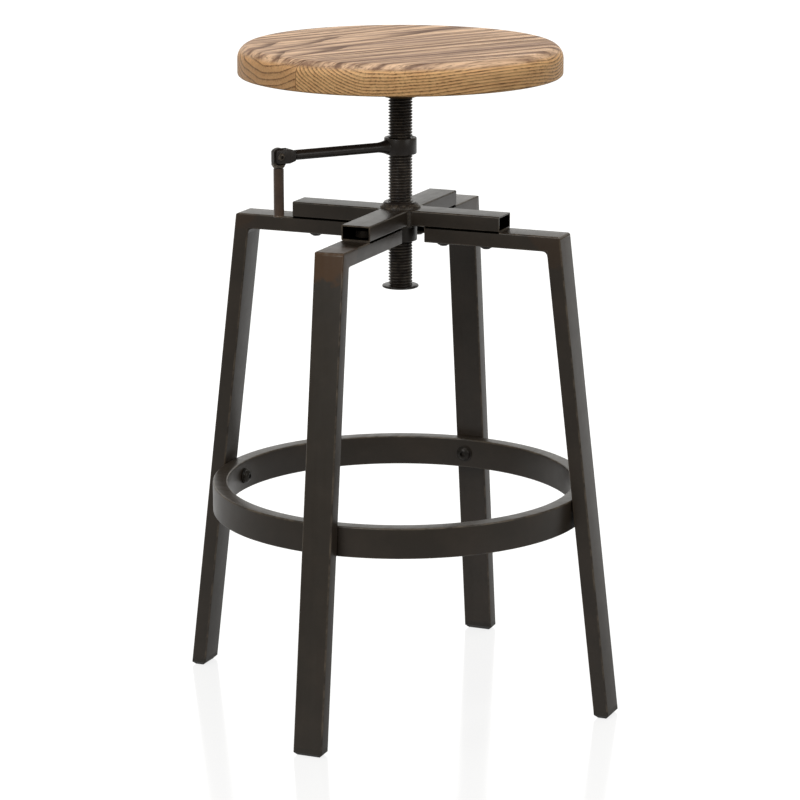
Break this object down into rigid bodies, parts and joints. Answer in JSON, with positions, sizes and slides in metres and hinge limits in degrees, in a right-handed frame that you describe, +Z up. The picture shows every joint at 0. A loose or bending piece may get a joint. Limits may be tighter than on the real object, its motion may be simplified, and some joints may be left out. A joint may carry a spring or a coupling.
{
  "type": "bar stool",
  "caption": "Round wooden swivel seat on a threaded column that a folding crank raises through a sleeve nut, on a splayed four-leg tube frame with a ring footrest.",
  "frame": {"origin": "on the floor, on the axis of the height screw, midway between the four feet", "axes": "+Z up along the screw; the legs stand on +X, +Y, -X and -Y"},
  "size_m": [0.4632, 0.4632, 0.6645],
  "materials": {
    "seat_wood": "satin lacquer on edge-glued hardwood boards",
    "frame_paint": "satin bronze-black powder coat, rubbed at the corners",
    "dark_steel": "oiled black oxide on turned steel",
    "fasteners": "blackened steel",
    "bush_bronze": "sintered bronze bearing",
    "foot_plastic": "moulded black plug"
  },
  "bodies": {
    "frame": {"sleeve_nut": "dark_steel", "hub_welds": "frame_paint", "cross_arm_east": "frame_paint", "cross_arm_north": "frame_paint", "cross_arm_west": "frame_paint", "cross_arm_south": "frame_paint", "leg_rail_east": "frame_paint", "leg_rail_north": "frame_paint", "leg_rail_west": "frame_paint", "leg_rail_south": "frame_paint", "leg_post_east": "frame_paint", "leg_post_north": "frame_paint", "leg_post_west": "frame_paint", "leg_post_south": "frame_paint", "corner_welds": "frame_paint", "rail_bolts": "fasteners", "rail_nuts": "fasteners", "footrest_ring": "frame_paint", "ring_washers": "fasteners", "ring_bolts": "fasteners", "ring_nuts": "fasteners", "foot_plug_east": "foot_plastic", "foot_plug_north": "foot_plastic", "foot_plug_west": "foot_plastic", "foot_plug_south": "foot_plastic"},
    "bearing": {"seat_bush": "bush_bronze"},
    "screw": {"height_screw": "dark_steel", "stop_disc": "dark_steel", "stop_bolt": "fasteners", "crank": "dark_steel", "hub_grub_screw": "fasteners", "handle_pivot": "fasteners", "keeper_washer": "fasteners", "keeper_bolt": "fasteners"},
    "handle": {"handle_stem": "dark_steel"},
    "grip": {"grip_sleeve": "dark_steel"},
    "seat": {"seat_board_back": "seat_wood", "seat_board_middle": "seat_wood", "seat_board_front": "seat_wood", "seat_plate": "frame_paint", "seat_screws": "fasteners"}
  },
  "joints": [
    {"name": "lift", "type": "slide", "parent": "frame", "child": "bearing", "axis": [0, 0, 1], "range_m": [-0.015, 0.045]},
    {"name": "screw_turn", "type": "hinge", "parent": "bearing", "child": "screw", "pos_m": [0, 0, 0.5], "axis": [0, 0, 1], "range_deg": [-1800.01, 5400.01]},
    {"name": "seat_swivel", "type": "hinge", "parent": "bearing", "child": "seat", "pos_m": [0, 0, 0.63], "axis": [0, 0, 1], "continuous": true},
    {"name": "handle_fold", "type": "hinge", "parent": "screw", "child": "handle", "pos_m": [-0.08342, -0.10678, 0.563], "axis": [-0.788, 0.6157, 0], "range_deg": [0, 180]},
    {"name": "grip_spin", "type": "hinge", "parent": "handle", "child": "grip", "pos_m": [-0.08342, -0.10678, 0.53], "axis": [0, 0, 1], "continuous": true}
  ],
  "couplings": [
    {"joint": "screw_turn", "follows": "lift", "rad_per_m": 2094.4}
  ]
}
